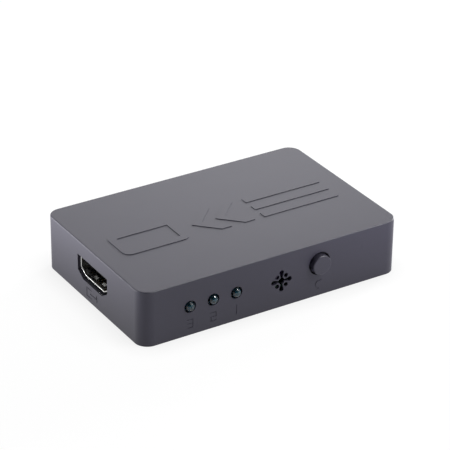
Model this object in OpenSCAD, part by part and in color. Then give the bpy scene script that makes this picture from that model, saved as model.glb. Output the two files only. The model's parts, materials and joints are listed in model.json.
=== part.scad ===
// Three-input video switch box. A plastic top case and an inset bottom cover hold a circuit board
// with one output socket on the left end, three input sockets along the back, three indicator lamps,
// a remote-control receiver and a push button on the front, and a power socket on the right end.
// Millimetres. The origin is the centre of the bottom face, +X runs to the right seen from the front,
// +Y to the back and +Z up.

/* [Case] */
// Length of the case, left end to right end
case_length = 75; // [66:0.5:100]
// Depth of the case, front to back
case_depth = 49; // [44:0.5:80]
// Height of the case, without the raised sign
case_height = 15; // [13.8:0.1:25]
// Radius of the upright corners
corner_radius = 3.5; // [2.5:0.1:4.5]
// Rounding along the top edge
edge_radius = 0.3; // [0.2:0.05:0.9]
// Thickness of the side walls
wall = 1.5; // [1.2:0.05:1.9]
// Thickness of the top
roof = 1.5; // [1:0.05:1.9]

/* [Raised sign] */
// Length of the raised sign on the top
sign_length = 62.6; // [50:0.1:66]
// Width of the sign, front to back
sign_width = 11; // [9:0.1:20]
// How far the sign's middle lies in front of the middle of the top
sign_forward = 0.7; // [-5:0.1:5]
// Height of the sign above the top
sign_relief = 0.15; // [0.1:0.05:0.8]
// Width of the sign's bars
sign_bar = 2.2; // [1:0.1:2.6]

/* [Engraved marks] */
// Height of an engraved number
mark_height = 2.6; // [1.5:0.1:3.2]
// Width of an engraved number
mark_width = 1.7; // [1:0.1:2.4]
// Width of an engraved line
mark_line = 0.3; // [0.2:0.05:0.45]
// Depth of the engraving
mark_depth = 0.1; // [0.1:0.05:0.6]
// Height of the row of marks above the bottom, to its middle
mark_level = 3.2; // [2.2:0.1:3.4]

/* [Cover and screws] */
// Thickness of the bottom cover
cover_thickness = 2; // [1.6:0.1:2.2]
// Gap between the cover's edge and the walls
cover_gap = 0.15; // [0.05:0.05:0.3]
// Height of the cover's posts under the board
post_height = 1.9; // [1.6:0.1:2.1]
// Diameter of the posts and of the bosses above the board
boss_diameter = 5.2; // [4.8:0.1:5.6]
// Distance from the inside of a wall to the middle of a boss
boss_inset = 3.6; // [3:0.1:4]
// Diameter of the screws
screw_diameter = 2; // [1.6:0.1:2.2]
// Diameter of the screw heads
screw_head_diameter = 3.8; // [3:0.1:4]
// Height of the screw heads
screw_head_height = 1.2; // [1:0.1:1.6]
// Length of screw held by a boss
screw_bite = 4.6; // [3:0.1:6]

/* [Board] */
// Thickness of the circuit board
board_thickness = 1.6; // [1.4:0.1:1.8]
// Gap between the board's edge and the walls
board_gap = 0.4; // [0.2:0.05:0.6]

/* [Video sockets] */
// Width of the opening in a socket's shell
port_width = 14; // [13.6:0.05:14.4]
// Height of the opening in a socket's shell
port_height = 4.55; // [4.4:0.05:4.8]
// Width of the flat floor between the two slanted lower corners
port_floor_width = 9.2; // [8.8:0.1:9.6]
// Height of the slanted lower corners
port_slant = 1.5; // [1.2:0.05:1.7]
// Depth of the shell, mouth to back
port_depth = 11.5; // [11.2:0.1:13]
// Sheet thickness of the shell
port_sheet = 0.3; // [0.2:0.05:0.35]
// How far a mouth lies behind the case's outer face
port_recess = 0.85; // [0.6:0.05:1.3]
// Gap between a shell and its hole in the case, at the top and sides
port_gap = 0.2; // [0.1:0.05:0.35]
// Gap between a shell and its hole in the case, at the bottom
port_gap_low = 0.7; // [0.3:0.05:0.8]
// Gap between an outer input socket and the boss beside it
port_clear = 1.5; // [0.6:0.1:4]

/* [Indicator lamps] */
// Diameter of a lamp
led_diameter = 3; // [2.6:0.1:3.4]
// Distance from the case's left end to the middle lamp
led_inset = 20; // [18:0.1:21]
// Distance between the middles of neighbouring lamps
led_pitch = 6.58; // [5:0.02:7]
// Height of the lamps' middle above the board
led_height = 2.4; // [2.2:0.1:3.2]
// How far the tip of a lamp stands out of the front
led_proud = 0.95; // [0:0.05:1.3]
// Gap between a lamp and its hole
led_gap = 0.15; // [0.05:0.05:0.3]

/* [Remote-control window] */
// Distance of the window from the middle of the front, to the right
window_offset = 2.15; // [0:0.05:3]
// Height of the window's middle above the board
window_height = 1.85; // [1.8:0.05:2.4]
// Radius over the ends of the slots
window_radius = 3; // [2.6:0.05:3.2]
// Diameter of the middle hole
window_middle = 1.8; // [1.2:0.05:1.9]
// Width of a slot at its outer end
window_slot = 1.3; // [0.8:0.05:1.4]
// Width of a slot where it meets the middle hole
window_neck = 0.35; // [0.2:0.05:0.5]
// Diameter of the four holes between the slots
window_hole = 1.2; // [0.6:0.05:1.25]
// Thickness of the wall round the window, thinned from inside
window_skin = 0.7; // [0.5:0.05:1.1]

/* [Push button] */
// Diameter of the button
button_diameter = 5.3; // [5:0.1:6]
// Gap between the button and its hole, all round
button_gap = 0.5; // [0.15:0.05:0.6]
// Distance of the button from the middle of the front, to the right
button_offset = 13.4; // [12:0.1:16]
// Height of the button's middle above the board
button_height = 3.6; // [3.3:0.1:3.9]
// How far the button stands out of the front
button_proud = 1.4; // [0.8:0.05:2]
// Rounding of the button's front edge
button_round = 0.35; // [0.2:0.05:0.8]
// Travel of the button
button_travel = 0.3; // [0.2:0.05:0.35]

/* [Power socket] */
// Distance of the power socket from the middle of the right end, to the back
jack_offset = 0; // [-6:0.1:6]
// Diameter of the socket's bore
jack_bore = 3.7; // [3.4:0.05:4]
// Diameter of the centre pin
jack_pin_diameter = 1.3; // [1:0.05:1.6]
// Diameter of the socket's round nose
jack_nose = 5.6; // [5.2:0.1:6]
// How far the nose lies behind the case's outer face
jack_recess = 0.4; // [0.1:0.05:0.8]
// Gap between the nose and its hole, all round
jack_gap = 0.2; // [0.1:0.05:0.3]

/* [Chips] */
// Side of the square switching chip
chip_side = 10; // [7:0.5:11]
// Legs along each side of the switching chip
chip_legs = 16; // [8:1:16]
// Diameter of the filter capacitor's can
can_diameter = 5; // [4:0.1:5.2]
// Height of the filter capacitor above the board
can_height = 5.4; // [4:0.1:5.6]

/* [Hidden] */
$fn = 64;

// Colours
case_colour = [0.29, 0.285, 0.32];
black = [0.06, 0.06, 0.07];
nickel = [0.78, 0.78, 0.76];
gold = [0.83, 0.68, 0.3];
tin = [0.72, 0.73, 0.74];
lamp_colour = [0.12, 0.3, 0.28];
board_colour = [0.05, 0.27, 0.14];

// Overlap that joins two solids of one piece, and overshoot of a cut
bite = 0.2;
past = 1;

// Marks under the sockets sit lower, below the sockets' holes
mark_level_low = mark_level * 0.81;

// Faces and levels of the case
left_face = -case_length / 2;
right_face = case_length / 2;
front_face = -case_depth / 2;
back_face = case_depth / 2;
ceiling = case_height - roof;
board_bottom = cover_thickness + post_height;
board_top = board_bottom + board_thickness;
boss_x = case_length / 2 - wall - boss_inset;
boss_y = case_depth / 2 - wall - boss_inset;

// Screws: the head sits just inside the cover's bottom face
screw_sink = 0.1;
screw_seat = screw_sink + screw_head_height;
screw_tip = board_top + screw_bite;
thread_fit = 0.02;
shank_room = 0.2;
tip_room = 0.5;
cross_width = 0.5;
cross_share = 0.55;
rib_thickness = 1;
rib_stand = 2;

// Through-board legs: how far they come out below, and the room round them in the board
leg_end = 0.7;
leg_room = 0.15;
leg_foot = -board_thickness - leg_end;

// Video sockets, drawn with the mouth at y = 0 and the board's top at z = 0
port_stand = 0.2;
port_base = port_stand + port_sheet;
port_half = port_width / 2;
port_pitch = boss_x - boss_diameter / 2 - port_clear - port_half - port_sheet;
slant_run = port_half - port_floor_width / 2;
slant_length = norm([slant_run, port_slant]);
port_fit = 0.03;
port_body_front = port_depth * 0.54;
port_tail_room = 1.3;
port_body_back = port_depth - port_tail_room;
port_leg_width = 1.4;
port_leg_inset = 2.2;
port_leg_depths = [port_leg_inset, port_depth - port_leg_inset - port_leg_width / 3];
port_mouth_low = 0.5;
finger_width = 1.5;
finger_spread = port_width * 0.147;
finger_places = [-finger_spread, finger_spread];
finger_tip = 1.1;
finger_crest = 2.1;
finger_flat = 0.7;
finger_root = 5.2;
finger_rise = 0.4;
finger_sheet = 0.2;
finger_room = 0.2;
tongue_inset = 1.5;
tongue_width = port_width - 2 * tongue_inset;
tongue_thickness = 1.3;
tongue_front = 1.5;
tongue_bevel = 0.4;
tongue_nose = 0.25;
tongue_middle = port_height * 0.55;
contact_pitch = 1;
contact_width = 0.3;
contact_sheet = 0.12;
contact_front = 2.1;
contact_foot = 0.8;
upper_row = [for (i = [0:9]) (i - 4.5) * contact_pitch];
lower_row = [for (i = [0:8]) (i - 4) * contact_pitch];

// Indicator lamps, drawn with the tip at y = 0 and the axis at z = 0
lamp_radius = led_diameter / 2;
lamp_length = 4.3;
lamp_rim = 1;
lamp_lip = 0.4;
lamp_rim_radius = lamp_radius + lamp_lip;
lead = 0.45;
lead_spread = led_diameter * 0.3;
lead_front = lamp_radius * 1.33;
lead_reach = 1.4;
lead_bend = lamp_length + lamp_rim + lead_reach;
lamp_x = [for (i = [1, 0, -1]) left_face + led_inset + i * led_pitch];

// Remote-control receiver, behind the window
receiver_size = [6.4, 3.2, 5.6];
receiver_lens = 1.7;
receiver_lens_rise = 0.4;
receiver_gap = 0.4;
receiver_stand = 0.2;
receiver_front = front_face + wall + receiver_gap + receiver_lens;
receiver_pin_pitch = 2.2;
window_border = 0.3;

// Push button and the switch behind it, front to back
button_radius = button_diameter / 2;
button_level = board_top + button_height;
button_front = front_face - button_proud;
button_slack = 0.1;
button_skirt = button_proud + wall + button_slack;
flange_lip = 0.6;
flange_radius = button_radius + button_gap + flange_lip;
flange_thickness = 0.8;
flange_room = 0.4;
hub_radius = 2;
hub_length = 0.5;
button_play = 0.05;
switch_front = button_front + button_skirt + flange_thickness + hub_length + button_play;
switch_half = 3;
plunger_radius = 1.7;
plunger_spare = 0.7;
plunger_reach = button_travel + plunger_spare;
plunger_play = 0.15;
plunger_base_radius = 2.1;
plunger_base = 0.4;
switch_sheet = 0.3;
plunger_back = plunger_reach + switch_sheet + button_play + plunger_base;
dome_gap = 0.02;
dome_spare = 0.2;
dome_rise = button_travel + dome_spare;
dome_radius = 2.1;
dome_sheet = 0.08;
dome_sphere = (dome_radius * dome_radius + dome_rise * dome_rise) / (2 * dome_rise);
pocket_radius = 2.3;
pocket_floor = plunger_back + dome_gap + dome_rise;
housing_front = plunger_reach + switch_sheet;
housing_depth = 3.3;
housing_back = housing_front + housing_depth;
frame_leg = 1;
frame_leg_inset = 0.6;
switch_pin_half = 0.35;
switch_pin_sheet = 0.3;
switch_pin_spread = 1.9;
switch_pin_inset = 0.8;

// Power socket, drawn with the nose at y = 0 and the board's top at z = 0
jack_nose_length = wall - jack_recess + board_gap;
jack_half = 3.3;
jack_level = 3.1;
jack_top = 6.2;
jack_length = 8;
jack_back = jack_nose_length + jack_length;
jack_end_wall = 1;
jack_pin_tip = 0.6;
terminal_sheet = 0.3;
terminal_half = 1;
terminal_inset = 3;

// Parts in the middle of the board: places go with the case's length and depth
chip_place = [case_length * -0.08, case_depth * -0.05];
chip_height = 1.4;
chip_stand = 0.1;
chip_leg_pitch = 0.5;
chip_leg_width = 0.22;
chip_leg_level = 0.6;
chip_leg_reach = 1;
chip_leg_sheet = 0.13;
control_place = [case_length * 0.113, case_depth * -0.184];
control_size = [4.9, 3.9, 1.5];
control_leg_pitch = 1.27;
control_leg_width = 0.4;
control_leg_level = 0.7;
control_leg_reach = 1.05;
control_leg_sheet = 0.2;
regulator_place = [case_length * 0.253, case_depth * 0.06];
regulator_size = [6.5, 3.5, 1.6];
regulator_leg_pitch = 2.3;
regulator_leg_width = 0.7;
regulator_tab_width = 3;
regulator_leg_level = 0.7;
regulator_leg_reach = 1.6;
regulator_leg_sheet = 0.28;
can_place = [case_length * 0.253, case_depth * -0.153];
can_base = can_height * 0.185;
can_border = can_diameter * 0.03;
capacitor_size = [1.6, 0.8, 0.8];
resistor_size = [1.6, 0.8, 0.45];
row_gap = 3.3;
row_step = case_length * 0.042;
capacitor_row = back_face - port_recess - port_depth - row_gap;
resistor_row = front_face - led_proud + lead_bend + row_gap;
capacitor_places = [for (i = [0:7]) [case_length * -0.227 + i * row_step, capacitor_row]];
resistor_places = [for (i = [0:7]) [case_length * -0.333 + i * row_step, resistor_row]];

// A quarter of a disc in the first quadrant
module quarter_disc(r) {
    intersection() {
        circle(r);
        square(r);
    }
}

// A rectangle about the origin with round corners
module round_rectangle(length, depth, r) {
    square([length, depth - 2 * r], center = true);
    for (side = [-1, 1])
        translate([-length / 2 + r, side > 0 ? depth / 2 - r : -depth / 2])
            square([length - 2 * r, r]);
    for (corner = [[1, 1, 0], [-1, 1, 90], [-1, -1, 180], [1, -1, 270]])
        translate([corner[0] * (length / 2 - r), corner[1] * (depth / 2 - r)])
            rotate(corner[2])
                quarter_disc(r);
}

// The case's outline, drawn in by a distance
module inside_outline(inset, r) {
    round_rectangle(case_length - 2 * inset, case_depth - 2 * inset, r);
}

// An outline drawn in (x, height) and pushed along +Y from y = a to y = b
module along_depth(a, b) {
    translate([0, b, 0])
        rotate([90, 0, 0])
            linear_extrude(b - a)
                children();
}

// An outline drawn in (depth, height) and pushed across X, a given width about x
module across(x, width) {
    translate([x - width / 2, 0, 0])
        rotate([90, 0, 90])
            linear_extrude(width)
                children();
}

// A half outline (radius, depth) turned about the Y axis
module turned_on_y() {
    rotate([-90, 0, 0])
        rotate_extrude()
            children();
}

// A box from a low corner to a high corner
module box(low, high) {
    translate(low)
        cube(high - low);
}

// Places a part drawn with its mouth at y = 0 and the board's top at z = 0
module at_left() {
    translate([left_face + port_recess, 0, board_top])
        rotate(-90)
            children();
}

module at_back(x) {
    translate([x, back_face - port_recess, board_top])
        rotate(180)
            children();
}

module at_right() {
    translate([right_face - jack_recess, jack_offset, board_top])
        rotate(90)
            children();
}

// Input sockets 1 to 3 run from the right to the left seen from the front
function input_x(number) = (2 - number) * port_pitch;

module at_screws() {
    for (x = [-boss_x, boss_x], y = [-boss_y, boss_y])
        translate([x, y, 0])
            children();
}

// Marks are cut into a face: the outline's x runs to the right and its y upward for someone facing it
module engraved_front(x, z) {
    translate([x, front_face + mark_depth, z])
        rotate([90, 0, 0])
            linear_extrude(mark_depth + past)
                children();
}

module engraved_back(x, z) {
    rotate(180)
        engraved_front(-x, z)
            children();
}

module engraved_left(y, z) {
    translate([left_face + mark_depth, y, z])
        rotate([90, 0, -90])
            linear_extrude(mark_depth + past)
                children();
}

// A number from 1 to 3 made of straight strokes, middle at the origin
module number_mark(number) {
    rows = [[], [1, 0, -1], [1, 0, -1]][number - 1];
    rise = (mark_height - mark_line) / 2;
    reach = (mark_width - mark_line) / 2;
    for (row = rows)
        translate([0, row * rise])
            square([mark_width, mark_line], center = true);
    if (number == 1)
        square([mark_line, mark_height], center = true);
    if (number > 1)
        translate([reach, rise / 2])
            square([mark_line, rise + mark_line], center = true);
    if (number > 1)
        translate([number == 2 ? -reach : reach, -rise / 2])
            square([mark_line, rise + mark_line], center = true);
}

// A turning arrow: three quarters of a ring and an arrow head
module cycle_mark() {
    r = mark_height / 2;
    difference() {
        circle(r);
        circle(r - mark_line);
        translate([0, -past * 2])
            square(past * 4);
    }
    translate([0, r - mark_line / 2])
        polygon([[0, mark_line * 1.6], [0, -mark_line * 1.6], [mark_line * 2.6, 0]]);
}

// An arrow that leaves a bracket
module outward_mark() {
    length = mark_height * 2.4;
    head = mark_height * 0.45;
    difference() {
        translate([-length / 2, -mark_height / 2])
            square([length * 0.42, mark_height]);
        translate([-length / 2 + mark_line, -mark_height / 2 + mark_line])
            square([length, mark_height - 2 * mark_line]);
    }
    translate([-length * 0.2, -mark_line / 2])
        square([length * 0.5, mark_line]);
    translate([length / 2, 0])
        polygon([[0, 0], [-head, head * 0.9], [-head, -head * 0.9]]);
}

// Case: outer block with a rounded top edge
module side_outline() {
    square([corner_radius, case_height - edge_radius]);
    translate([0, case_height - edge_radius])
        square([corner_radius - edge_radius, edge_radius]);
    translate([corner_radius - edge_radius, case_height - edge_radius])
        quarter_disc(edge_radius);
}

module case_block() {
    x = case_length / 2 - corner_radius;
    y = case_depth / 2 - corner_radius;
    box([-x, -y, 0], [x, y, case_height]);
    for (side = [0, 180])
        rotate(side) {
            translate([x, y, 0])
                rotate([90, 0, 0])
                    linear_extrude(2 * y)
                        side_outline();
            translate([-x, y, 0])
                rotate([90, 0, 90])
                    linear_extrude(2 * x)
                        side_outline();
            translate([x, y, 0])
                rotate_extrude(angle = 90)
                    side_outline();
            translate([-x, y, 0])
                rotate(90)
                    rotate_extrude(angle = 90)
                        side_outline();
        }
}

// Raised sign: a screen on the left, two arrow heads and three bars for the three sources
module sign_outline() {
    screen = sign_length * 0.3;
    head = sign_width / 2;
    heads = [-0.105, 0.005];
    bars = sign_length * 0.36;
    bar_step = (sign_width - sign_bar) / 2;
    translate([-sign_length / 2 + screen / 2, 0])
        difference() {
            round_rectangle(screen, sign_width, sign_bar);
            square([screen - 2 * sign_bar, sign_width - 2 * sign_bar], center = true);
        }
    for (place = heads)
        translate([place * sign_length - head / 2, 0])
            polygon([
                [0, 0], [head, head], [head + sign_bar * 1.3, head],
                [sign_bar * 1.3, 0], [head + sign_bar * 1.3, -head], [head, -head]
            ]);
    for (step = [-1, 0, 1])
        translate([sign_length / 2 - bars / 2, step * bar_step])
            square([bars, sign_bar], center = true);
}

module sign() {
    translate([0, -sign_forward, case_height - bite])
        linear_extrude(sign_relief + bite)
            sign_outline();
}

// Bosses that meet the board's top, with ribs to the walls
module bosses() {
    half = rib_thickness / 2;
    low = board_top + rib_stand;
    high = ceiling + bite;
    at_screws()
        translate([0, 0, board_top])
            cylinder(d = boss_diameter, h = high - board_top);
    for (x = [0, 1], y = [0, 1])
        mirror([x, 0, 0])
            mirror([0, y, 0]) {
                box([boss_x, boss_y - half, low], [right_face - wall + bite, boss_y + half, high]);
                box([boss_x - half, boss_y, low], [boss_x + half, back_face - wall + bite, high]);
            }
}

// A socket's opening, grown by a sheet thickness or gap, with its lower edge moved down by drop
function port_outline(grow, drop = 0) =
    let (
        half = port_half + grow,
        knee = port_slant - grow * (slant_length - port_slant) / slant_run - drop,
        foot = port_floor_width / 2 + grow * (slant_length - slant_run) / port_slant,
        low = -grow - drop,
        high = port_height + grow
    )
    [[-half, high], [-half, knee], [-foot, low], [foot, low], [half, knee], [half, high]];

module port_hole() {
    along_depth(-port_recess - past, wall + past)
        translate([0, port_base])
            polygon(port_outline(port_sheet + port_gap, port_gap_low - port_gap));
}

// Window for the remote control: a middle hole, four slots that narrow into it and four small holes
module window_outline() {
    slot_end = window_radius - window_slot / 2;
    slot_start = window_middle / 2 - window_neck;
    circle(d = window_middle);
    for (turn = [0:90:270])
        rotate(turn) {
            translate([slot_end, 0])
                circle(d = window_slot);
            polygon([
                [slot_start, -window_neck / 2], [slot_end, -window_slot / 2],
                [slot_end, window_slot / 2], [slot_start, window_neck / 2]
            ]);
            rotate(45)
                translate([window_radius * 0.6, 0])
                    circle(d = window_hole);
        }
}

module top_case() {
    color(case_colour)
        difference() {
            union() {
                difference() {
                    case_block();
                    translate([0, 0, -past])
                        linear_extrude(ceiling + past)
                            inside_outline(wall, corner_radius - wall);
                }
                bosses();
                sign();
            }
            at_screws()
                translate([0, 0, board_top - past])
                    cylinder(d = screw_diameter + 2 * thread_fit, h = screw_bite + past + tip_room);
            at_left()
                port_hole();
            for (number = [1:3])
                at_back(input_x(number))
                    port_hole();
            for (x = lamp_x)
                translate([x, front_face - past, board_top + led_height])
                    rotate([-90, 0, 0])
                        cylinder(r = lamp_radius + led_gap, h = wall + 2 * past);
            translate([window_offset, front_face, board_top + window_height])
                along_depth(-past, wall + past)
                    window_outline();
            translate([window_offset, front_face + window_skin, board_top + window_height])
                rotate([-90, 0, 0])
                    cylinder(r = window_radius + window_border, h = wall);
            translate([button_offset, front_face - past, button_level])
                rotate([-90, 0, 0])
                    cylinder(r = button_radius + button_gap, h = wall + 2 * past);
            at_right()
                translate([0, -jack_recess - past, jack_level])
                    rotate([-90, 0, 0])
                        cylinder(r = jack_nose / 2 + jack_gap, h = wall + 2 * past);
            for (number = [1:3]) {
                engraved_front(lamp_x[number - 1], mark_level)
                    number_mark(number);
                engraved_back(input_x(number), mark_level_low)
                    number_mark(number);
            }
            engraved_front(button_offset, mark_level)
                cycle_mark();
            engraved_left(0, mark_level_low)
                outward_mark();
        }
}

module bottom_cover() {
    inset = wall + cover_gap;
    color(case_colour)
        difference() {
            union() {
                linear_extrude(cover_thickness)
                    inside_outline(inset, corner_radius - inset);
                at_screws()
                    cylinder(d = boss_diameter, h = board_bottom);
            }
            at_screws() {
                translate([0, 0, -past])
                    cylinder(d = screw_diameter + 2 * shank_room, h = board_bottom + 2 * past);
                translate([0, 0, -past])
                    cylinder(d = screw_head_diameter + 2 * shank_room, h = screw_seat + past);
            }
        }
}

module case_screws() {
    r = screw_diameter / 2;
    cross = [screw_head_diameter * cross_share, cross_width, screw_head_height];
    color(black)
        at_screws()
            difference() {
                rotate_extrude()
                    polygon([
                        [0, screw_sink], [screw_head_diameter / 2, screw_sink],
                        [screw_head_diameter / 2, screw_seat], [r, screw_seat],
                        [r, screw_tip - r], [r * 0.4, screw_tip], [0, screw_tip]
                    ]);
                for (turn = [0, 90])
                    rotate(turn)
                        translate([0, 0, screw_sink])
                            cube(cross, center = true);
            }
}

module circuit_board() {
    inset = wall + board_gap;
    color(board_colour)
        difference() {
            translate([0, 0, board_bottom])
                linear_extrude(board_thickness)
                    inside_outline(inset, corner_radius - wall);
            at_screws()
                cylinder(d = screw_diameter + 2 * shank_room, h = board_top + past);
            at_left()
                port_legs(leg_room);
            for (number = [1:3])
                at_back(input_x(number))
                    port_legs(leg_room);
            lamp_feet(leg_room);
            receiver_pins(leg_room);
            at_switch() {
                switch_frame_legs(leg_room);
                switch_pin_pair(leg_room);
            }
            at_right()
                jack_legs(leg_room);
            button_notch();
        }
}

// Room for the button's flange in the board's front edge
module button_notch() {
    half = flange_radius + flange_room;
    back = button_front + button_skirt + flange_thickness + button_travel + flange_room;
    box(
        [button_offset - half, front_face, board_bottom - past],
        [button_offset + half, back, board_top + past]
    );
}

// Video socket: four legs that pass through the board
module port_legs(room = 0) {
    for (side = [-1, 1], depth = port_leg_depths)
        translate([side * (port_half + port_sheet / 2), depth, 0])
            box(
                [-port_sheet / 2 - room, -room, leg_foot - (room > 0 ? past : 0)],
                [port_sheet / 2 + room, port_leg_width + room, port_base + port_slant + bite]
            );
}

// Video socket: a spring finger's section, height measured from the inside of the wall it is cut from
finger_outline = [
    [finger_root + bite, -port_sheet], [finger_root + bite, 0],
    [finger_crest + finger_flat / 2, finger_rise], [finger_crest - finger_flat / 2, finger_rise],
    [finger_tip, finger_rise * 0.2], [finger_tip, finger_rise * 0.2 - finger_sheet],
    [finger_crest - finger_flat / 2, finger_rise - finger_sheet],
    [finger_crest + finger_flat / 2, finger_rise - finger_sheet]
];

module port_shell() {
    window = finger_width + 2 * finger_room;
    tails = (len(upper_row) + 0.4) * contact_pitch / 2;
    color(nickel) {
        difference() {
            along_depth(0, port_depth)
                translate([0, port_base])
                    polygon(port_outline(port_sheet));
            along_depth(-past, port_depth - port_sheet)
                translate([0, port_base])
                    polygon(port_outline(0));
            for (x = finger_places)
                box(
                    [x - window / 2, finger_tip - finger_room, port_base - past],
                    [x + window / 2, finger_root, port_base + port_height + past]
                );
            box(
                [-tails, port_body_back - finger_room, -past],
                [tails, port_depth + past, port_base + port_mouth_low]
            );
        }
        for (x = finger_places)
            across(x, finger_width) {
                translate([0, port_base])
                    polygon(finger_outline);
                translate([0, port_base + port_height])
                    mirror([0, 1])
                        polygon(finger_outline);
            }
        port_legs();
    }
}

module port_insulator() {
    low = tongue_middle - tongue_thickness / 2;
    high = tongue_middle + tongue_thickness / 2;
    color(black)
        difference() {
            union() {
                along_depth(port_body_front, port_body_back)
                    translate([0, port_base])
                        polygon(port_outline(-port_fit));
                across(0, tongue_width)
                    translate([0, port_base])
                        polygon([
                            [tongue_front, low + tongue_nose], [tongue_front + tongue_bevel, low],
                            [port_body_front + bite, low], [port_body_front + bite, high],
                            [tongue_front + tongue_bevel, high], [tongue_front, high - tongue_nose]
                        ]);
            }
            port_contact_rows();
        }
}

// One contact: a strip along the tongue, a tail down the back and a foot on the board
module port_contact(x, level) {
    back = port_body_back + contact_sheet;
    across(x, contact_width)
        polygon([
            [contact_front, level], [contact_front, level + contact_sheet],
            [back, level + contact_sheet], [back, contact_sheet],
            [back + contact_foot, contact_sheet], [back + contact_foot, 0],
            [port_body_back, 0], [port_body_back, level]
        ]);
}

module port_contact_rows() {
    for (x = upper_row)
        port_contact(x, port_base + tongue_middle + tongue_thickness / 2 - contact_sheet / 2);
    for (x = lower_row)
        port_contact(x, port_base + tongue_middle - tongue_thickness / 2 - contact_sheet / 2);
}

module port_contacts() {
    color(gold)
        port_contact_rows();
}

module output_socket_shell() {
    at_left()
        port_shell();
}

module output_socket_insulator() {
    at_left()
        port_insulator();
}

module output_socket_contacts() {
    at_left()
        port_contacts();
}

module input_socket_shell(number) {
    at_back(input_x(number))
        port_shell();
}

module input_socket_insulator(number) {
    at_back(input_x(number))
        port_insulator();
}

module input_socket_contacts(number) {
    at_back(input_x(number))
        port_contacts();
}

// Lamps 1 to 3 run from the right to the left seen from the front
module at_lamp(number) {
    translate([lamp_x[number - 1], front_face - led_proud, board_top + led_height])
        children();
}

module lamp_lead_pair() {
    foot = leg_foot - led_height;
    for (side = [-1, 1])
        across(side * lead_spread, lead)
            polygon([
                [lead_front, -lead / 2], [lead_front, lead / 2],
                [lead_bend + lead / 2, lead / 2], [lead_bend + lead / 2, foot],
                [lead_bend - lead / 2, foot], [lead_bend - lead / 2, -lead / 2]
            ]);
}

module lamp_feet(room) {
    for (number = [1:3], side = [-1, 1])
        at_lamp(number)
            translate([side * lead_spread, lead_bend, -led_height])
                box(
                    [-lead / 2 - room, -lead / 2 - room, leg_foot - past],
                    [lead / 2 + room, lead / 2 + room, past / 2]
                );
}

module lamp(number) {
    color(lamp_colour)
        at_lamp(number)
            difference() {
                turned_on_y() {
                    translate([0, lamp_radius])
                        mirror([0, 1])
                            quarter_disc(lamp_radius);
                    translate([0, lamp_radius])
                        square([lamp_radius, lamp_length - lamp_radius]);
                    translate([0, lamp_length])
                        square([lamp_rim_radius, lamp_rim]);
                }
                lamp_lead_pair();
            }
}

module lamp_leads() {
    color(tin)
        for (number = [1:3])
            at_lamp(number)
                lamp_lead_pair();
}

module remote_receiver() {
    half = receiver_size[0] / 2;
    base = board_top + receiver_stand;
    color(black) {
        box(
            [window_offset - half, receiver_front, base],
            [window_offset + half, receiver_front + receiver_size[1], base + receiver_size[2]]
        );
        translate([window_offset, receiver_front, board_top + window_height + receiver_lens_rise])
            sphere(receiver_lens);
    }
}

module receiver_pins(room = 0) {
    middle = receiver_front + receiver_size[1] / 2;
    for (place = [-1, 0, 1])
        translate([window_offset + place * receiver_pin_pitch, middle, board_top])
            box(
                [-lead / 2 - room, -lead / 2 - room, leg_foot - (room > 0 ? past : 0)],
                [lead / 2 + room, lead / 2 + room, receiver_stand]
            );
}

module remote_receiver_leads() {
    color(tin)
        receiver_pins();
}

module select_button() {
    back = button_skirt + flange_thickness;
    color(case_colour)
        translate([button_offset, button_front, button_level])
            turned_on_y() {
                square([button_radius - button_round, button_round]);
                translate([button_radius - button_round, button_round])
                    mirror([0, 1])
                        quarter_disc(button_round);
                translate([0, button_round])
                    square([button_radius, button_skirt - button_round]);
                translate([0, button_skirt])
                    square([flange_radius, flange_thickness]);
                translate([0, back])
                    square([hub_radius, hub_length]);
            }
}

module at_switch() {
    translate([button_offset, switch_front, button_level])
        children();
}

module switch_plunger() {
    color(black)
        at_switch()
            turned_on_y() {
                square([plunger_radius, plunger_back]);
                translate([0, plunger_back - plunger_base])
                    square([plunger_base_radius, plunger_base]);
            }
}

// A shallow snap dome, apex towards the plunger
module switch_dome() {
    apex = pocket_floor - dome_rise;
    color(nickel)
        at_switch()
            intersection() {
                translate([0, apex + dome_sphere, 0])
                    difference() {
                        sphere(dome_sphere, $fn = 256);
                        sphere(dome_sphere - dome_sheet, $fn = 256);
                    }
                box(
                    [-dome_radius * 2, apex - past, -dome_radius * 2],
                    [dome_radius * 2, pocket_floor, dome_radius * 2]
                );
            }
}

module switch_housing() {
    color(black)
        at_switch()
            difference() {
                box([-switch_half, housing_front, -switch_half], [switch_half, housing_back, switch_half]);
                translate([0, housing_front - past, 0])
                    rotate([-90, 0, 0])
                        cylinder(r = pocket_radius, h = pocket_floor - housing_front + past);
            }
}

// Two legs of the frame that pass through the board
module switch_frame_legs(room = 0) {
    for (side = [-1, 1])
        translate([side * (switch_half + switch_sheet / 2), housing_back - frame_leg_inset - frame_leg, 0])
            box(
                [-switch_sheet / 2 - room, -room, leg_foot - button_height - (room > 0 ? past : 0)],
                [switch_sheet / 2 + room, frame_leg + room, -switch_half + bite]
            );
}

module switch_frame() {
    outer = switch_half + switch_sheet;
    color(nickel)
        at_switch() {
            difference() {
                box([-outer, plunger_reach, -switch_half], [outer, housing_front, switch_half]);
                translate([0, plunger_reach - past, 0])
                    rotate([-90, 0, 0])
                        cylinder(r = plunger_radius + plunger_play, h = switch_sheet + 2 * past);
            }
            for (side = [-1, 1])
                translate([side * (switch_half + switch_sheet / 2), 0, 0])
                    box(
                        [-switch_sheet / 2, plunger_reach, -switch_half],
                        [switch_sheet / 2, housing_back, switch_half / 3]
                    );
            switch_frame_legs();
        }
}

module switch_pin_pair(room = 0) {
    half = switch_pin_half + room;
    thick = switch_pin_sheet / 2 + room;
    foot = leg_foot - button_height - (room > 0 ? past : 0);
    for (side = [-1, 1])
        translate([side * switch_pin_spread, housing_front + switch_pin_inset, 0])
            box([-half, -thick, foot], [half, thick, -switch_half]);
}

module switch_pins() {
    color(tin)
        at_switch()
            switch_pin_pair();
}

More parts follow.
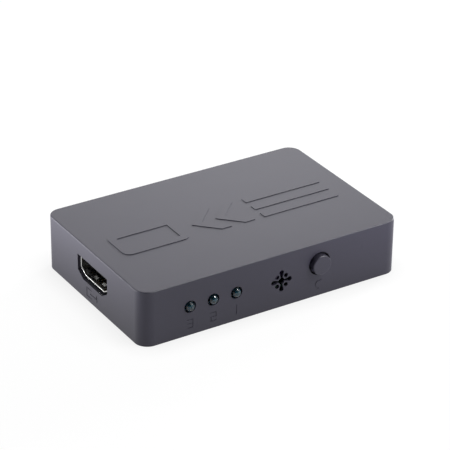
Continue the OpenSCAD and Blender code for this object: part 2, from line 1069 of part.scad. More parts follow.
module power_socket_body() {
    color(black)
        at_right()
            difference() {
                union() {
                    translate([0, 0, jack_level])
                        rotate([-90, 0, 0])
                            cylinder(d = jack_nose, h = jack_nose_length + bite);
                    box([-jack_half, jack_nose_length, 0], [jack_half, jack_back, jack_top]);
                }
                translate([0, -past, jack_level])
                    rotate([-90, 0, 0])
                        cylinder(d = jack_bore, h = jack_back - jack_end_wall + past);
                translate([0, 0, jack_level])
                    rotate([-90, 0, 0])
                        cylinder(d = jack_pin_diameter + 2 * thread_fit, h = jack_back + past);
            }
}

module power_socket_pin() {
    r = jack_pin_diameter / 2;
    color(nickel)
        at_right()
            translate([0, jack_pin_tip, jack_level])
                turned_on_y() {
                    translate([0, r])
                        mirror([0, 1])
                            quarter_disc(r);
                    translate([0, r])
                        square([r, jack_back - jack_pin_tip - r]);
                }
}

// A strip down the back, joined to the pin, and a strip down one side
module jack_legs(room = 0) {
    foot = leg_foot - (room > 0 ? past : 0);
    side = jack_nose_length + terminal_inset;
    box(
        [-terminal_half - room, jack_back - room, foot],
        [terminal_half + room, jack_back + terminal_sheet + room, jack_level + terminal_half]
    );
    box(
        [jack_half - room, side - room, foot],
        [jack_half + terminal_sheet + room, side + 2 * terminal_half + room, jack_level]
    );
}

module power_socket_terminals() {
    color(tin)
        at_right()
            jack_legs();
}

// One bent leg of a chip, from the body at y = 0 down to the board, drawn outward along +Y
module bent_leg(x, width, level, reach, sheet) {
    across(x, width)
        polygon([
            [0, level], [0, level + sheet], [reach * 0.45, level + sheet], [reach * 0.45, sheet],
            [reach, sheet], [reach, 0], [reach * 0.45 - sheet, 0], [reach * 0.45 - sheet, level]
        ]);
}

module switching_chip() {
    half = chip_side / 2;
    color(black)
        translate([chip_place[0], chip_place[1], board_top])
            box([-half, -half, chip_stand], [half, half, chip_stand + chip_height]);
}

module switching_chip_legs() {
    pitch = min(chip_leg_pitch, chip_side * 0.9 / chip_legs);
    color(tin)
        translate([chip_place[0], chip_place[1], board_top])
            for (turn = [0:90:270], i = [0:chip_legs - 1])
                rotate(turn)
                    translate([0, chip_side / 2, 0])
                        bent_leg(
                            (i - (chip_legs - 1) / 2) * pitch, chip_leg_width,
                            chip_leg_level, chip_leg_reach, chip_leg_sheet
                        );
}

module control_chip() {
    color(black)
        translate([control_place[0], control_place[1], board_top + chip_stand + control_size[2] / 2])
            cube(control_size, center = true);
}

module control_chip_legs() {
    color(tin)
        translate([control_place[0], control_place[1], board_top])
            for (turn = [0, 180], i = [0:3])
                rotate(turn)
                    translate([0, control_size[1] / 2, 0])
                        bent_leg(
                            (i - 1.5) * control_leg_pitch, control_leg_width,
                            control_leg_level, control_leg_reach, control_leg_sheet
                        );
}

module voltage_regulator() {
    color(black)
        translate([regulator_place[0], regulator_place[1], board_top + chip_stand + regulator_size[2] / 2])
            cube(regulator_size, center = true);
}

// Three narrow legs on one side and a wide tab on the other
module voltage_regulator_legs() {
    color(tin)
        translate([regulator_place[0], regulator_place[1], board_top]) {
            for (i = [-1, 0, 1])
                rotate(180)
                    translate([0, regulator_size[1] / 2, 0])
                        bent_leg(
                            i * regulator_leg_pitch, regulator_leg_width,
                            regulator_leg_level, regulator_leg_reach, regulator_leg_sheet
                        );
            translate([0, regulator_size[1] / 2, 0])
                bent_leg(
                    0, regulator_tab_width,
                    regulator_leg_level, regulator_leg_reach, regulator_leg_sheet
                );
        }
}

module capacitor_base() {
    half = can_diameter / 2 + can_border;
    color(black)
        translate([can_place[0], can_place[1], board_top])
            box([-half, -half, 0], [half, half, can_base]);
}

module capacitor_can() {
    color(tin)
        translate([can_place[0], can_place[1], board_top + can_base])
            cylinder(d = can_diameter, h = can_height - can_base);
}

// Small blocks lying on the board
module board_blocks(places, size) {
    for (place = places)
        translate([place[0] - size[0] / 2, place[1] - size[1] / 2, board_top])
            cube(size);
}

module chip_capacitors() {
    color([0.6, 0.5, 0.38])
        board_blocks(capacitor_places, capacitor_size);
}

module chip_resistors() {
    color(black)
        board_blocks(resistor_places, resistor_size);
}

top_case();
bottom_cover();
case_screws();
circuit_board();
output_socket_shell();
output_socket_insulator();
output_socket_contacts();
input_socket_shell(1);  // input_socket_1_shell
input_socket_insulator(1);  // input_socket_1_insulator
input_socket_contacts(1);  // input_socket_1_contacts
input_socket_shell(2);  // input_socket_2_shell
input_socket_insulator(2);  // input_socket_2_insulator
input_socket_contacts(2);  // input_socket_2_contacts
input_socket_shell(3);  // input_socket_3_shell
input_socket_insulator(3);  // input_socket_3_insulator
input_socket_contacts(3);  // input_socket_3_contacts
lamp(1);  // lamp_1
lamp(2);  // lamp_2
lamp(3);  // lamp_3
lamp_leads();
remote_receiver();
remote_receiver_leads();
select_button();
switch_plunger();
switch_dome();
switch_housing();
switch_frame();
switch_pins();
power_socket_body();
power_socket_pin();
power_socket_terminals();
switching_chip();
switching_chip_legs();
control_chip();
control_chip_legs();
voltage_regulator();
voltage_regulator_legs();
capacitor_base();
capacitor_can();
chip_capacitors();
chip_resistors();
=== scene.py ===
import json
import math

import bpy
import numpy as np
from mathutils import Matrix, Vector


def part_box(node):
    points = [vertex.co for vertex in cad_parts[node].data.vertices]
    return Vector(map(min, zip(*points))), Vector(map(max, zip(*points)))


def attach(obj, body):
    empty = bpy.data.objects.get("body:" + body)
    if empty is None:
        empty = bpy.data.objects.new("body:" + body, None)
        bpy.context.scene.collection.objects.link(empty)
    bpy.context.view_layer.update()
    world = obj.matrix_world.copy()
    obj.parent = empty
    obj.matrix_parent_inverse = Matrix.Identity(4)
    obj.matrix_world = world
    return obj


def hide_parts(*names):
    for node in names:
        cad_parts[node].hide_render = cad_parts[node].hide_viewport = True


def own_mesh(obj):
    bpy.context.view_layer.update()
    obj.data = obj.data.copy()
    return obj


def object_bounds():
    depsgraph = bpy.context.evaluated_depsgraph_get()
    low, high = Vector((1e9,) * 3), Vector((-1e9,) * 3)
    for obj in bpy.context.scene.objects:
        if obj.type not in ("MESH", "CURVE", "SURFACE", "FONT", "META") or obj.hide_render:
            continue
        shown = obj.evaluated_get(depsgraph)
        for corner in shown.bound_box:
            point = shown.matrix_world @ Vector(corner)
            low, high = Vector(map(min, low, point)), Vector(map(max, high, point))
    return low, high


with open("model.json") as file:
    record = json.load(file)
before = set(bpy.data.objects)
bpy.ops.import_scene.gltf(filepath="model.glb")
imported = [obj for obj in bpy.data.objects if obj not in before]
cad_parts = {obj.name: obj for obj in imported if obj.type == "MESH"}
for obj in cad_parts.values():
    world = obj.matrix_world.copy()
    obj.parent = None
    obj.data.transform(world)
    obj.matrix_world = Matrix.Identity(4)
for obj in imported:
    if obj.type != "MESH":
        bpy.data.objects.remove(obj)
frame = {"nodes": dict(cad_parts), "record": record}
cadBox = [list(corner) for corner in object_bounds()]
nodes = frame["nodes"]
mm = 0.001
print("frame loaded,", len(nodes), "nodes")


def hexColour(code):
    # sRGB hex to the linear values that the shaders take
    channels = np.array([int(code[i:i + 2], 16) / 255 for i in (1, 3, 5)])
    low = channels / 12.92
    high = ((channels + 0.055) / 1.055) ** 2.4
    return [float(c) for c in np.where(channels <= 0.04045, low, high)] + [1.0]


mixFirst, mixSecond, mixResult = 6, 7, 2  # where a Mix node of colours takes its two and gives the blend


def addNode(tree, kind, settings=None, links=None):
    # settings are the node's own properties or its input values, links go from a socket to an input
    node = tree.nodes.new(kind)
    for key, value in (settings or {}).items():
        if isinstance(key, str) and hasattr(node, key):
            setattr(node, key, value)
        else:
            node.inputs[key].default_value = value
    for key, socket in (links or {}).items():
        tree.links.new(socket, node.inputs[key])
    return node


def startMaterial(name, settings):
    # a material with one Principled shader, its constant values on its own sockets
    material = bpy.data.materials.new(name)
    material.use_nodes = True
    tree = material.node_tree
    shader = tree.nodes["Principled BSDF"]
    for key, value in settings.items():
        shader.inputs[key].default_value = value
    return material, tree, shader


def perMetre(size):
    # a noise of scale s has features about 1/s apart, so a size in mm gives this scale
    return 1 / (size * mm)


# Camera: the photograph's place, solved from the case's straight edges
cameraSpec = {
    "turn": -32.02,  # degrees from straight ahead of the front, towards the left end
    "tilt": 28.39,  # degrees above the table
    "roll": 0.64,  # degrees
    "distance": 555.5,  # mm
    "aim": (3.3, 3.9, 9.5),  # mm, the point in the middle of the frame
    "lens": 173.64,  # mm
    "sensor": 36,  # mm wide
    "near": 0.01,  # m, nothing closer is drawn
}


def makeCamera(spec):
    turn, tilt, roll = (math.radians(spec[key]) for key in ("turn", "tilt", "roll"))
    back = Vector((
        math.sin(turn) * math.cos(tilt),
        -math.cos(turn) * math.cos(tilt),
        math.sin(tilt),
    ))
    level = Vector((math.cos(turn), math.sin(turn), 0))
    upright = back.cross(level)
    right = level * math.cos(roll) + upright * math.sin(roll)
    up = upright * math.cos(roll) - level * math.sin(roll)
    data = bpy.data.cameras.new("camera")
    data.lens = spec["lens"]
    data.sensor_width = spec["sensor"]
    data.clip_start = spec["near"]
    camera = bpy.data.objects.new("camera", data)
    camera.matrix_world = Matrix((right, up, back)).transposed().to_4x4()
    camera.location = Vector(spec["aim"]) * mm + back * spec["distance"] * mm
    bpy.context.scene.collection.objects.link(camera)
    bpy.context.scene.camera = camera


makeCamera(cameraSpec)
print("camera placed")

# Light: soft boxes round a white table, dim on the camera's side
# The sparkle shows in gloss alone: it is the small bright spot on each indicator lamp
lightSpec = {
    "over": {"turn": 48, "lift": 46, "size": 0.5, "power": 4.2},
    "right": {"turn": 112, "lift": 10, "size": 0.3, "power": 14.2},
    "behind": {"turn": 135, "lift": 25, "size": 0.6, "power": 0.7},
    "low": {"turn": 160, "lift": 10, "size": 0.3, "power": 0.8},
    "sparkle": {"turn": 52, "lift": 50, "size": 0.2, "power": 9.0, "glossOnly": True},
}
lightDistance = 1.1  # m

# Beams: soft-edged spots that fade over the left end, the top and the front
# aim is in mm, and spread is the radius in mm at which a beam has faded to nothing there
beamSpec = {
    "leftBeam": {"turn": 235, "lift": -6.3, "aim": (-37.5, 35.0, 100.0), "spread": 113.0, "power": 143.0},
    "topBeam": {"turn": 142, "lift": 45, "aim": (42.0, 84.0, 15.0), "spread": 98.0, "power": 5.0},
    "frontBeam": {
        "turn": 20, "lift": -4.9, "aim": (54.0, -24.5, 80.0), "spread": 92.0, "power": 43.0,
        "matteOnly": True,  # no mirror image of it in shiny surfaces
    },
}
beamReach, beamSoft = 0.8, 0.02  # m from lamp to aim, and the lamp's own radius


def wayFrom(spec):
    # turn 0 is straight ahead of the front, 90 the right end; lift is above the table
    turn, lift = math.radians(spec["turn"]), math.radians(spec["lift"])
    return Vector((
        math.sin(turn) * math.cos(lift),
        -math.cos(turn) * math.cos(lift),
        math.sin(lift),
    ))


def placeLamp(name, data, way, place):
    lamp = bpy.data.objects.new(name, data)
    lamp.location = place
    lamp.rotation_euler = way.to_track_quat("Z", "Y").to_euler()
    lamp.visible_camera = False
    bpy.context.scene.collection.objects.link(lamp)
    return lamp


for lightName, spec in lightSpec.items():
    softBox = bpy.data.lights.new(lightName, "AREA")
    softBox.shape = "SQUARE"
    softBox.size = spec["size"]
    softBox.energy = spec["power"]
    softBoxLamp = placeLamp(lightName, softBox, wayFrom(spec), wayFrom(spec) * lightDistance)
    softBoxLamp.visible_diffuse = not spec.get("glossOnly", False)

for beamName, spec in beamSpec.items():
    beam = bpy.data.lights.new(beamName, "SPOT")
    beam.energy = spec["power"]
    beam.spot_blend = 1.0  # soft from the middle to the edge
    beam.spot_size = 2 * math.atan(spec["spread"] * mm / beamReach)
    beam.shadow_soft_size = beamSoft
    beamPlace = Vector(spec["aim"]) * mm + wayFrom(spec) * beamReach
    beamLamp = placeLamp(beamName, beam, wayFrom(spec), beamPlace)
    beamLamp.visible_glossy = not spec.get("matteOnly", False)

# World: white where the camera, metal and glass look past the floor, and a dim even fill otherwise
# In reflections the room on the camera's side, above the table, is dark
worldSpec = {
    "colour": "#ffffff",
    "fill": 0.04,
    "room": {"turn": -25, "lift": 40},  # the middle of the dark side
    "edge": (0.45, 0.75),  # it darkens between these cosines of the angle to its middle
    "rise": (0.1, 0.25),  # and between these heights above the horizon
}


def makeWorld(spec):
    world = bpy.data.worlds.new("studio")
    world.use_nodes = True
    tree = world.node_tree
    rays = addNode(tree, "ShaderNodeLightPath")
    mirrored = addNode(tree, "ShaderNodeMath", {"operation": "MAXIMUM"}, {
        0: rays.outputs["Is Glossy Ray"], 1: rays.outputs["Is Transmission Ray"],
    })
    place = addNode(tree, "ShaderNodeTexCoord")
    along = addNode(tree, "ShaderNodeVectorMath", {"operation": "DOT_PRODUCT", 1: wayFrom(spec["room"])}, {
        0: place.outputs["Generated"],
    })
    edgeFrom, edgeTo = spec["edge"]
    inRoom = addNode(tree, "ShaderNodeMapRange", {"From Min": edgeFrom, "From Max": edgeTo}, {
        "Value": along.outputs["Value"],
    })
    height = addNode(tree, "ShaderNodeSeparateXYZ", {}, {0: place.outputs["Generated"]})
    riseFrom, riseTo = spec["rise"]
    above = addNode(tree, "ShaderNodeMapRange", {"From Min": riseFrom, "From Max": riseTo}, {
        "Value": height.outputs["Z"],
    })
    dark = addNode(tree, "ShaderNodeMath", {"operation": "MULTIPLY"}, {
        0: inRoom.outputs[0], 1: above.outputs[0],
    })
    bright = addNode(tree, "ShaderNodeMath", {"operation": "SUBTRACT", 0: 1.0}, {1: dark.outputs[0]})
    mirror = addNode(tree, "ShaderNodeMath", {"operation": "MULTIPLY"}, {
        0: mirrored.outputs[0], 1: bright.outputs[0],
    })
    shown = addNode(tree, "ShaderNodeMath", {"operation": "MAXIMUM"}, {
        0: rays.outputs["Is Camera Ray"], 1: mirror.outputs[0],
    })
    level = addNode(tree, "ShaderNodeMapRange", {"To Min": spec["fill"]}, {"Value": shown.outputs[0]})
    tree.nodes["Background"].inputs["Color"].default_value = hexColour(spec["colour"])
    tree.links.new(level.outputs[0], tree.nodes["Background"].inputs["Strength"])
    world.cycles.sampling_method = "NONE"  # it differs by kind of ray, so no ray is aimed at it
    bpy.context.scene.world = world


makeWorld(worldSpec)
bpy.context.scene.view_settings.view_transform = "Standard"
print("lights placed")

# Floor: pale paper that the camera, metal and glass see as white, with a faint share of its shadows and a
# painted contact shadow round the foot of the box
floorSpec = {
    "half": 3.0,  # m
    "below": 0.02,  # mm under the box, so that the two faces don't meet
    "colour": "#d6d4ea",  # what the box's sides get back from the open floor
    # painted shade: the colour the floor gives back darkens to this right beside the box
    "shade": "#000000",  # and from the floor right beside the box
    "shadeReach": 40.0,  # mm between the two
    "share": "#595959",  # how much of the cast shadows is seen
    "white": 0.962,  # seen level of the open floor
    # painted contact shadow: the level seen drops from white to this at the foot of the box
    "contact": 0.855,  # seen level at the foot of the box
    "reach": 7.0,  # mm between the two
    "foot": 0.5,  # openness at the foot of a wall, which hides half of the sky
    "seenSamples": 16,
    "bounceSamples": 8,
}


def paperMaterial(spec):
    material = bpy.data.materials.new("whitePaper")
    material.use_nodes = True
    material.cycles.emission_sampling = "NONE"
    tree = material.node_tree
    tree.nodes.clear()
    # painted shade: the colour given back darkens near the box, by how closed in each point is
    around = addNode(tree, "ShaderNodeAmbientOcclusion", {
        "samples": spec["bounceSamples"], "Distance": spec["shadeReach"] * mm,
    })
    lit = addNode(tree, "ShaderNodeMapRange", {"From Min": spec["foot"]}, {"Value": around.outputs["AO"]})
    bounce = addNode(tree, "ShaderNodeMix", {
        "data_type": "RGBA", mixFirst: hexColour(spec["shade"]), mixSecond: hexColour(spec["colour"]),
    }, {0: lit.outputs[0]})
    matte = addNode(tree, "ShaderNodeBsdfDiffuse", {}, {"Color": bounce.outputs[mixResult]})
    faint = addNode(tree, "ShaderNodeBsdfDiffuse", {"Color": hexColour(spec["share"])})
    # painted contact shadow: the white that is seen dims near the box
    near = addNode(tree, "ShaderNodeAmbientOcclusion", {
        "samples": spec["seenSamples"], "Distance": spec["reach"] * mm,
    })
    level = addNode(tree, "ShaderNodeMapRange", {
        "From Min": spec["foot"], "To Min": spec["contact"], "To Max": spec["white"],
    }, {"Value": near.outputs["AO"]})
    white = addNode(tree, "ShaderNodeEmission", {"Color": (1, 1, 1, 1)}, {"Strength": level.outputs[0]})
    share = addNode(tree, "ShaderNodeAddShader", {}, {0: faint.outputs[0], 1: white.outputs[0]})
    rays = addNode(tree, "ShaderNodeLightPath")
    seen = addNode(tree, "ShaderNodeMath", {"operation": "MAXIMUM"}, {
        0: rays.outputs["Is Camera Ray"], 1: rays.outputs["Is Glossy Ray"],
    })
    shown = addNode(tree, "ShaderNodeMath", {"operation": "MAXIMUM"}, {
        0: seen.outputs[0], 1: rays.outputs["Is Transmission Ray"],
    })
    pick = addNode(tree, "ShaderNodeMixShader", {}, {
        0: shown.outputs[0], 1: matte.outputs[0], 2: share.outputs[0],
    })
    addNode(tree, "ShaderNodeOutputMaterial", {}, {"Surface": pick.outputs[0]})
    return material


def makeFloor(spec):
    half = spec["half"]
    low = cadBox[0][2] - spec["below"] * mm
    corners = [(-half, -half, low), (half, -half, low), (half, half, low), (-half, half, low)]
    data = bpy.data.meshes.new("floor")
    data.from_pydata(corners, [], [(0, 1, 2, 3)])
    data.materials.append(paperMaterial(spec))
    floor = bpy.data.objects.new("floor", data)
    bpy.context.scene.collection.objects.link(floor)


makeFloor(floorSpec)
print("floor laid")

# Case plastic: ABS moulded against a spark-eroded tool, a fine even grain, so light spreads softly off it
caseSpec = {
    "colour": "#444252", "darker": "#403e4e", "index": 1.54,
    "grain": 0.12, "grainDetail": 2.0,  # mm across, finer than a pixel, as in the photo
    "bump": 0.04, "depth": 0.02,  # share of the depth, and the depth in mm
    "cloud": 9.0, "cloudDetail": 3.0,  # mm, a faint drift of the colour
}
caseRoughness, buttonRoughness = 0.5, 0.45  # fingers polish the button a little


def mouldedCase(name, spec, roughness):
    material, tree, shader = startMaterial(name, {"Roughness": roughness, "IOR": spec["index"]})
    place = addNode(tree, "ShaderNodeTexCoord")
    cloud = addNode(tree, "ShaderNodeTexNoise", {
        "Scale": perMetre(spec["cloud"]), "Detail": spec["cloudDetail"],
    }, {"Vector": place.outputs["Object"]})
    tint = addNode(tree, "ShaderNodeMix", {
        "data_type": "RGBA", mixFirst: hexColour(spec["colour"]), mixSecond: hexColour(spec["darker"]),
    }, {0: cloud.outputs["Fac"]})
    grain = addNode(tree, "ShaderNodeTexNoise", {
        "Scale": perMetre(spec["grain"]), "Detail": spec["grainDetail"],
    }, {"Vector": place.outputs["Object"]})
    bump = addNode(tree, "ShaderNodeBump", {"Strength": spec["bump"], "Distance": spec["depth"] * mm}, {
        "Height": grain.outputs["Fac"],
    })
    tree.links.new(tint.outputs[mixResult], shader.inputs["Base Color"])
    tree.links.new(bump.outputs[0], shader.inputs["Normal"])
    return material


# Nickel plate on stamped sheet: bright, with a faint haze from tumbling
nickelSpec = {
    "colour": "#c8c8c6", "roughness": 0.24, "least": 0.7, "most": 1.4,  # shares of the roughness
    "haze": 0.6, "detail": 4.0,  # mm across, and how many finer layers it has
}


def nickelPlate(name, spec):
    material, tree, shader = startMaterial(name, {"Base Color": hexColour(spec["colour"]), "Metallic": 1.0})
    place = addNode(tree, "ShaderNodeTexCoord")
    haze = addNode(tree, "ShaderNodeTexNoise", {
        "Scale": perMetre(spec["haze"]), "Detail": spec["detail"],
    }, {"Vector": place.outputs["Object"]})
    rough = addNode(tree, "ShaderNodeMapRange", {
        "To Min": spec["roughness"] * spec["least"], "To Max": spec["roughness"] * spec["most"],
    }, {"Value": haze.outputs["Fac"]})
    tree.links.new(rough.outputs[0], shader.inputs["Roughness"])
    return material


plainDetail = 3.0  # finer layers in the noise of the plain finishes


def plainFinish(name, colour, darker, rough, size, metal=0.0):
    # a colour that wanders a little towards a darker one, over a size in mm
    material, tree, shader = startMaterial(name, {"Roughness": rough, "Metallic": metal})
    place = addNode(tree, "ShaderNodeTexCoord")
    noise = addNode(tree, "ShaderNodeTexNoise", {"Scale": perMetre(size), "Detail": plainDetail}, {
        "Vector": place.outputs["Object"],
    })
    tint = addNode(tree, "ShaderNodeMix", {
        "data_type": "RGBA", mixFirst: hexColour(colour), mixSecond: hexColour(darker),
    }, {0: noise.outputs["Fac"]})
    tree.links.new(tint.outputs[mixResult], shader.inputs["Base Color"])
    return material


finishes = {
    "case_plastic": mouldedCase("mouldedAbs", caseSpec, caseRoughness),
    "button_plastic": mouldedCase("mouldedAbsButton", caseSpec, buttonRoughness),
    "nickel_plate": nickelPlate("nickelPlate", nickelSpec),
    # steel blackened in hot oxide: dull dark metal
    "screw_steel": plainFinish("blackenedSteel", "#3a3a3d", "#2c2c2f", rough=0.4, size=0.5, metal=1.0),
    # glass-fibre board under a cured green mask: an even sheen
    "board_laminate": plainFinish("solderMask", "#17512f", "#124427", rough=0.35, size=2.0),
    # black nylon from a plain tool: half matte
    "socket_plastic": plainFinish("mouldedNylon", "#17171a", "#121214", rough=0.5, size=0.8),
    # gold flashed on bronze strip: warm and bright
    "contact_gold": plainFinish("goldFlash", "#d8b25a", "#c79c45", rough=0.28, size=0.5, metal=1.0),
    # tin dipped over wire: pale and a little soft
    "tinned_lead": plainFinish("tinnedWire", "#c4c6c8", "#aeb0b3", rough=0.35, size=0.4, metal=1.0),
    # dyed epoxy cast in a polished mould, a violet gloss; its colour is lighter than the near-black resin,
    # painted light standing in for light that reaches it behind the window
    "receiver_resin": plainFinish("infraredResin", "#5c5270", "#4d445e", rough=0.15, size=1.0),
    # black nylon again, a shade lighter
    "switch_plastic": plainFinish("switchNylon", "#1a1a1c", "#141416", rough=0.5, size=0.8),
    # filled epoxy pressed in a blasted tool: flat black
    "chip_resin": plainFinish("mouldedEpoxy", "#1d1d20", "#161618", rough=0.6, size=0.4),
    # fired ceramic, unglazed: flat tan
    "chip_ceramic": plainFinish("firedCeramic", "#a68a66", "#937855", rough=0.6, size=0.3),
    # deep-drawn aluminium: silver and satin
    "can_aluminium": plainFinish("drawnAluminium", "#d0d1d4", "#bcbec2", rough=0.3, size=0.6, metal=1.0),
    # the lamps' solids, which the clear beads below stand for
    "lamp_resin": plainFinish("lampResin", "#2c4a48", "#223d3b", rough=0.1, size=1.0),
}
for part in frame["record"]["subparts"]:
    mesh = nodes[part["node"]].data
    mesh.materials.clear()
    mesh.materials.append(finishes[part["material_slot"]])
print("finishes set:", len(finishes))

sharpFrom = 42  # degrees; a sharper edge stays sharp in smooth shading


def fillMesh(name, points, faces, material, body, slot):
    # a piece from whole arrays of points and faces, shaded smooth with its sharp edges kept
    mesh = bpy.data.meshes.new(name)
    mesh.from_pydata(points.tolist(), [], faces)
    mesh.shade_smooth()
    mesh.set_sharp_from_angle(angle=math.radians(sharpFrom))
    mesh.materials.append(material)
    piece = bpy.data.objects.new(name, mesh)
    bpy.context.scene.collection.objects.link(piece)
    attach(piece, body)
    return piece


def turnedForm(profile, centre, steps):
    # surface of revolution about +Y: x = r cos t, z = r sin t, y = depth, the two ends closed on the axis
    radius, depth = profile[1:-1, 0:1], profile[1:-1, 1:2]
    angle = np.arange(steps) * (2 * np.pi / steps)
    rings = np.stack([
        centre[0] + radius * np.cos(angle),
        centre[1] + depth + 0 * angle,
        centre[2] + radius * np.sin(angle),
    ], axis=-1)
    poles = np.array([
        [centre[0], centre[1] + profile[0, 1], centre[2]],
        [centre[0], centre[1] + profile[-1, 1], centre[2]],
    ])
    count = len(radius)
    points = np.concatenate([rings.reshape(-1, 3), poles])
    here = np.arange(steps)
    after = (here + 1) % steps
    row = (np.arange(count - 1) * steps)[:, None]
    quads = np.stack([row + here, row + steps + here, row + steps + after, row + after], axis=-1)
    first, last = count * steps, count * steps + 1
    end = (count - 1) * steps
    front = np.stack([first + 0 * here, here, after], axis=-1)
    rear = np.stack([last + 0 * here, end + after, end + here], axis=-1)
    return points, quads.reshape(-1, 4).tolist() + front.tolist() + rear.tolist()


# Lamps: beads of cast tinted resin, with the bright cup of the lead frame inside
lampSpec = {
    "dome": 1.3, "neck": 1.55, "body": 1.5, "rim": 1.0, "lip": 0.4, "round": 0.15,  # mm
    "steps": 72, "arcSteps": 20, "roundSteps": 6,
    "tint": "#4d9cb6", "cloud": "#57a5bd", "cloudSize": 1.2, "detail": 2.0,
    # painted shade: the bead's colour darkens to this towards the edge of its dome
    "paintedEdgeShade": "#185368", "paintedEdgeShadeFrom": 0.5, "paintedEdgeShadeTo": 0.85,  # shares of the dome's radius
    "clear": 0.77, "roughness": 0.03, "index": 1.52,
}
cupSpec = {
    "front": 2.3, "dish": 0.5, "outer": 0.62, "floor": 0.28, "back": 3.6, "depth": 0.45,  # mm
    "waist": 1.4,  # how many depths its side runs back
    "tail": 0.6,  # share of its outer radius that is left at the back
    "steps": 48,
}


def castResin(name, spec):
    # tinted epoxy cast in a polished mould: glassy and a little milky, with painted shade darkening its
    # colour towards the edge of the dome
    material, tree, shader = startMaterial(name, {
        "Roughness": spec["roughness"], "IOR": spec["index"], "Transmission Weight": spec["clear"],
    })
    place = addNode(tree, "ShaderNodeTexCoord")
    cloud = addNode(tree, "ShaderNodeTexNoise", {
        "Scale": perMetre(spec["cloudSize"]), "Detail": spec["detail"],
    }, {"Vector": place.outputs["Object"]})
    tint = addNode(tree, "ShaderNodeMix", {
        "data_type": "RGBA", mixFirst: hexColour(spec["tint"]), mixSecond: hexColour(spec["cloud"]),
    }, {0: cloud.outputs["Fac"]})
    out = addNode(tree, "ShaderNodeAttribute", {"attribute_name": "paintedEdgeShade"})
    edge = addNode(tree, "ShaderNodeMapRange", {
        "interpolation_type": "SMOOTHSTEP", "From Min": spec["paintedEdgeShadeFrom"], "From Max": spec["paintedEdgeShadeTo"],
    }, {"Value": out.outputs["Fac"]})
    body = addNode(tree, "ShaderNodeMix", {"data_type": "RGBA", mixSecond: hexColour(spec["paintedEdgeShade"])}, {
        0: edge.outputs[0], mixFirst: tint.outputs[mixResult],
    })
    tree.links.new(body.outputs[mixResult], shader.inputs["Base Color"])
    return material


def beadProfile(spec, length):
    # quarter circle from the tip, a straight neck, a wider body, a rim behind it, and flat to the axis
    turn = np.linspace(0, np.pi / 2, spec["arcSteps"])
    corner = np.linspace(0, np.pi / 2, spec["roundSteps"])
    dome, neck, body, soft = (spec[key] for key in ("dome", "neck", "body", "round"))
    wide, front = body + spec["lip"], length - spec["rim"]
    return np.concatenate([
        np.stack([dome * np.sin(turn), dome * (1 - np.cos(turn))], axis=-1),
        np.array([[dome, neck]]),
        np.stack([body - soft + soft * np.sin(corner), neck + soft * (1 - np.cos(corner))], axis=-1),
        np.array([[body, front]]),
        np.stack([wide - soft + soft * np.sin(corner), front + soft * (1 - np.cos(corner))], axis=-1),
        np.stack([wide - soft + soft * np.cos(corner), length - soft + soft * np.sin(corner)], axis=-1),
        np.array([[0.0, length]]),
    ])


def cupProfile(spec):
    # a dish sunk in the front of a short post, closed behind
    return np.array([
        [0.0, spec["front"] + spec["depth"]],
        [spec["floor"], spec["front"] + spec["depth"]],
        [spec["dish"], spec["front"]],
        [spec["outer"], spec["front"]],
        [spec["outer"], spec["front"] + spec["depth"] * spec["waist"]],
        [spec["outer"] * spec["tail"], spec["back"]],
        [0.0, spec["back"]],
    ])


def markPaintedEdgeShade(bead, tip, radius):
    # how far each point lies from the bead's axis, as a share of its radius, which sets where the painted
    # shade falls
    places = np.empty(len(bead.data.vertices) * 3)
    bead.data.vertices.foreach_get("co", places)
    away = np.hypot(places[0::3] - tip[0], places[2::3] - tip[2]) / radius
    bead.data.attributes.new("paintedEdgeShade", "FLOAT", "POINT").data.foreach_set("value", np.minimum(away, 1.0))


resin = castResin("castEpoxy", lampSpec)
for number in (1, 2, 3):
    low, high = (np.array(corner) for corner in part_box("lamp_%d" % number))
    tip = np.array([(low[0] + high[0]) / 2, low[1], (low[2] + high[2]) / 2])
    bead = fillMesh(
        "lampBead_%d" % number,
        *turnedForm(beadProfile(lampSpec, (high[1] - low[1]) / mm) * mm, tip, lampSpec["steps"]),
        resin, "case", "lamp_resin",
    )
    markPaintedEdgeShade(bead, tip, lampSpec["dome"] * mm)
    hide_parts("lamp_%d" % number)
    fillMesh(
        "lampCup_%d" % number,
        *turnedForm(cupProfile(cupSpec) * mm, tip, cupSpec["steps"]),
        finishes["tinned_lead"], "case", "tinned_lead",
    )
print("lamps made")

# Snap dome of the push switch: a thin pressed cap that flattens under the plunger
domeSpec = {
    "sheet": 0.08,  # mm
    "rings": 14, "steps": 64,
    "left": 0.4,  # share of its rise when pressed
}


def domeProfile(spec, radius, rise):
    # the cap of a sphere that meets the rim, and the same cap one sheet inside it
    sphere = (radius ** 2 + rise ** 2) / (2 * rise)
    inner = sphere - spec["sheet"]
    rim = math.sqrt(inner ** 2 - (sphere - rise) ** 2)
    out, back = np.linspace(0, radius, spec["rings"]), np.linspace(rim, 0, spec["rings"])
    return np.concatenate([
        np.stack([out, sphere - np.sqrt(sphere ** 2 - out ** 2)], axis=-1),
        np.stack([back, sphere - np.sqrt(inner ** 2 - back ** 2)], axis=-1),
    ])


low, high = (np.array(corner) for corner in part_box("switch_dome"))
middle = (low + high) / 2
apex = np.array([middle[0], low[1], middle[2]])
domeRadius, domeRise = (high[0] - low[0]) / 2 / mm, (high[1] - low[1]) / mm
dome = fillMesh(
    "snapDome",
    *turnedForm(domeProfile(domeSpec, domeRadius, domeRise) * mm, apex, domeSpec["steps"]),
    finishes["nickel_plate"], "case", "nickel_plate",
)
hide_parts("switch_dome")
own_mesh(dome)
print("snap dome made")

# Socket lips: the rolled front edge of each stamped shell, standing just proud of the sheet
lipSpec = {
    "half": 7.0, "floorHalf": 4.6, "slant": 1.5, "height": 4.55, "sheet": 0.3,  # mm, the shell's opening
    "slantShare": 0.7,  # how far the floor's ends move out with the sheet, as a share of half of it
    "corner": 0.6, "thick": 0.19, "proud": 0.17,  # mm
    "arcSteps": 8, "ringSteps": 14,
}


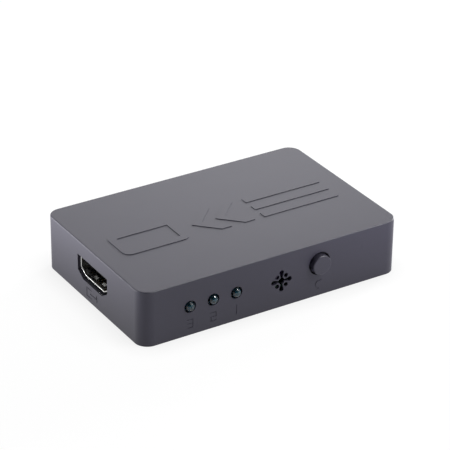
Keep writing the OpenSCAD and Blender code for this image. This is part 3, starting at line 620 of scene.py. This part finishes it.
def lipPath(spec):
    # six-sided outline in the middle of the sheet
    # each corner is an arc whose normal turns from that of one edge to that of the next
    mid = spec["sheet"] / 2
    half, high, slant = spec["half"] + mid, spec["height"] + mid, spec["slant"]
    floorHalf = spec["floorHalf"] + mid * spec["slantShare"]
    corners = np.array([
        [half, high], [-half, high], [-half, slant],
        [-floorHalf, -mid], [floorHalf, -mid], [half, slant],
    ])
    edge = np.roll(corners, -1, axis=0) - corners
    edge = edge / np.linalg.norm(edge, axis=1, keepdims=True)
    outward = np.stack([edge[:, 1], -edge[:, 0]], axis=-1)
    before = np.roll(outward, 1, axis=0)
    straight = np.sum(before * outward, axis=1)
    across = before[:, 0] * outward[:, 1] - before[:, 1] * outward[:, 0]
    centre = corners - spec["corner"] * (before + outward) / (1 + straight[:, None])
    start, turn = np.arctan2(before[:, 1], before[:, 0]), np.arctan2(across, straight)
    angle = start[:, None] + turn[:, None] * np.linspace(0, 1, spec["arcSteps"])
    normal = np.stack([np.cos(angle), np.sin(angle)], axis=-1)
    path = centre[:, None, :] + spec["corner"] * normal
    return path.reshape(-1, 2), normal.reshape(-1, 2)


def lipForm(spec, across, forward, mouth):
    # an ellipse carried round the outline: its long way across the sheet, its short way out of the mouth
    path, normal = lipPath(spec)
    ring = np.arange(spec["ringSteps"]) * (2 * np.pi / spec["ringSteps"])
    flat = path[:, None, :] + normal[:, None, :] * (spec["thick"] * np.cos(ring))[None, :, None]
    out = spec["proud"] * np.sin(ring)[None, :, None] + 0 * flat[:, :, :1]
    up = np.array([0.0, 0.0, 1.0])
    points = mouth + (flat[:, :, :1] * across + flat[:, :, 1:] * up + out * forward) * mm
    count, steps = len(path), spec["ringSteps"]
    here, along = np.arange(steps), np.arange(count)
    after, onward = (here + 1) % steps, (along + 1) % count
    quads = np.stack([
        along[:, None] * steps + here, onward[:, None] * steps + here,
        onward[:, None] * steps + after, along[:, None] * steps + after,
    ], axis=-1)
    return points.reshape(-1, 3), quads.reshape(-1, 4).tolist()


# each socket faces along one axis: 0 is length, 1 is depth
socketWays = {"output": (0, -1.0), "input_1": (1, 1.0), "input_2": (1, 1.0), "input_3": (1, 1.0)}
for socketName, (axis, sign) in socketWays.items():
    node = "output_socket_shell" if socketName == "output" else "input_socket_%s_shell" % socketName[-1]
    low, high = (np.array(corner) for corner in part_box(node))
    forward = np.eye(3)[axis] * sign
    across = np.cross(forward, [0.0, 0.0, 1.0])
    mouth = (low + high) / 2
    mouth[axis] = high[axis] if sign > 0 else low[axis]
    mouth[2] = high[2] - (lipSpec["height"] + lipSpec["sheet"]) * mm
    fillMesh(
        "socketLip_" + socketName,
        *lipForm(lipSpec, across, forward, mouth),
        finishes["nickel_plate"], "case", "nickel_plate",
    )
print("socket lips made")
